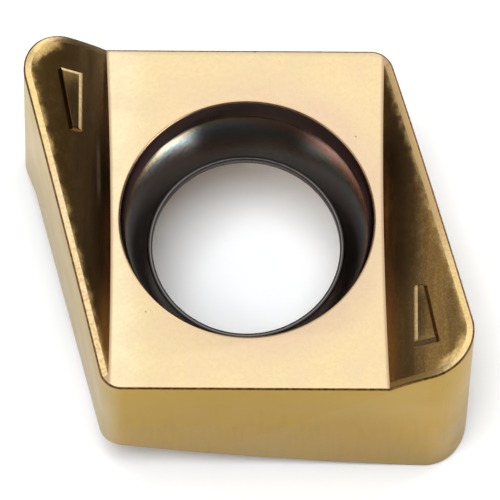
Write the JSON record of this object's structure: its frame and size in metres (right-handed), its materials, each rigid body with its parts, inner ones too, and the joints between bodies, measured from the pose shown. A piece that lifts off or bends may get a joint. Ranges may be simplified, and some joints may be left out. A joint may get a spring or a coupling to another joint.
{
  "type": "rhombic carbide milling insert",
  "caption": "Double-sided rhombic cutting insert with raised noses, sloping rake ramps and a flared screw hole, for milling metal.",
  "frame": {"origin": "centre of the screw hole, half-way between the two seating flats", "axes": "+Z along the screw hole, out of the top face; X along the front and back sides; the acute noses lie towards -X +Y and +X -Y"},
  "size_m": [0.0116, 0.0096, 0.0068],
  "materials": {
    "coated_carbide": "polished gold-coloured hard coating, dark inside the screw hole"
  },
  "bodies": {
    "root": {"insert_body": "coated_carbide"}
  },
  "joints": []
}
